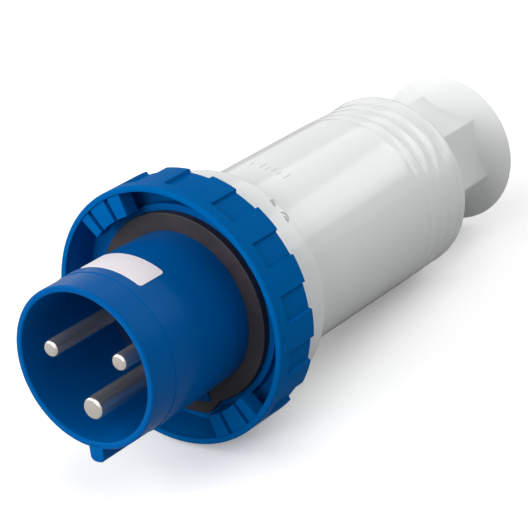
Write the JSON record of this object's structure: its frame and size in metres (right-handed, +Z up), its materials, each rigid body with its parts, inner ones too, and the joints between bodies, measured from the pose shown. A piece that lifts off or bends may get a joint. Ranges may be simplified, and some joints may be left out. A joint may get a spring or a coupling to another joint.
{
  "type": "industrial pin and sleeve plug",
  "caption": "Cable plug with a round sleeve, contact pins, keyed side, bayonet locking ring, ribbed rear housing and screw gland.",
  "frame": {"origin": "centre of the sleeve mouth, on the plug axis", "axes": "+Z up, with the plug lying on its locking ring and collar; +Y runs from the mouth towards the cable entry, level, while the plug axis drops by 5.54 degrees along it; the key is on the -Z side and +X is to the right seen from the mouth"},
  "size_m": [0.094, 0.229, 0.0954],
  "materials": {
    "sleeve_blue": "smooth moulded",
    "ring_blue": "smooth moulded",
    "carrier_blue": "moulded",
    "nickel_pin": "nickel plated, turned",
    "screw_steel": "zinc plated",
    "retainer_black": "moulded",
    "gasket_rubber": "matte",
    "gland_rubber": "matte",
    "housing_white": "smooth moulded",
    "nut_white": "smooth moulded",
    "cage_grey": "moulded"
  },
  "bodies": {
    "plug_body": {"plug_sleeve": "sleeve_blue", "contact_carrier": "carrier_blue", "earth_pin": "nickel_pin", "line_pin": "nickel_pin", "neutral_pin": "nickel_pin", "earth_terminal_screw_front": "screw_steel", "earth_terminal_screw_rear": "screw_steel", "line_terminal_screw_front": "screw_steel", "line_terminal_screw_rear": "screw_steel", "neutral_terminal_screw_front": "screw_steel", "neutral_terminal_screw_rear": "screw_steel", "carrier_screws": "screw_steel", "pin_retainer": "retainer_black", "retainer_screw": "screw_steel", "mating_gasket": "gasket_rubber", "rear_housing": "housing_white", "housing_seal": "gasket_rubber", "gland_seal": "gland_rubber", "clamp_cage": "cage_grey"},
    "ring": {"locking_ring": "ring_blue"},
    "gland_slider": {"thrust_ring": "cage_grey"},
    "gland_turner": {"gland_nut": "nut_white"}
  },
  "joints": [
    {"name": "ring_turn", "type": "hinge", "parent": "plug_body", "child": "ring", "pos_m": [0, 0.0632, -0.00613], "axis": [0, -0.9953, 0.0965], "range_deg": [0, 45]},
    {"name": "gland_feed", "type": "slide", "parent": "plug_body", "child": "gland_slider", "axis": [0, 0.9953, -0.0965], "range_m": [0, 0.0061]},
    {"name": "gland_turn", "type": "hinge", "parent": "gland_slider", "child": "gland_turner", "pos_m": [0, 0.19926, -0.01932], "axis": [0, 0.9953, -0.0965], "range_deg": [0, 1080]}
  ],
  "couplings": [
    {"joint": "gland_feed", "follows": "gland_turn", "m_per_rad": 0.00031831}
  ]
}
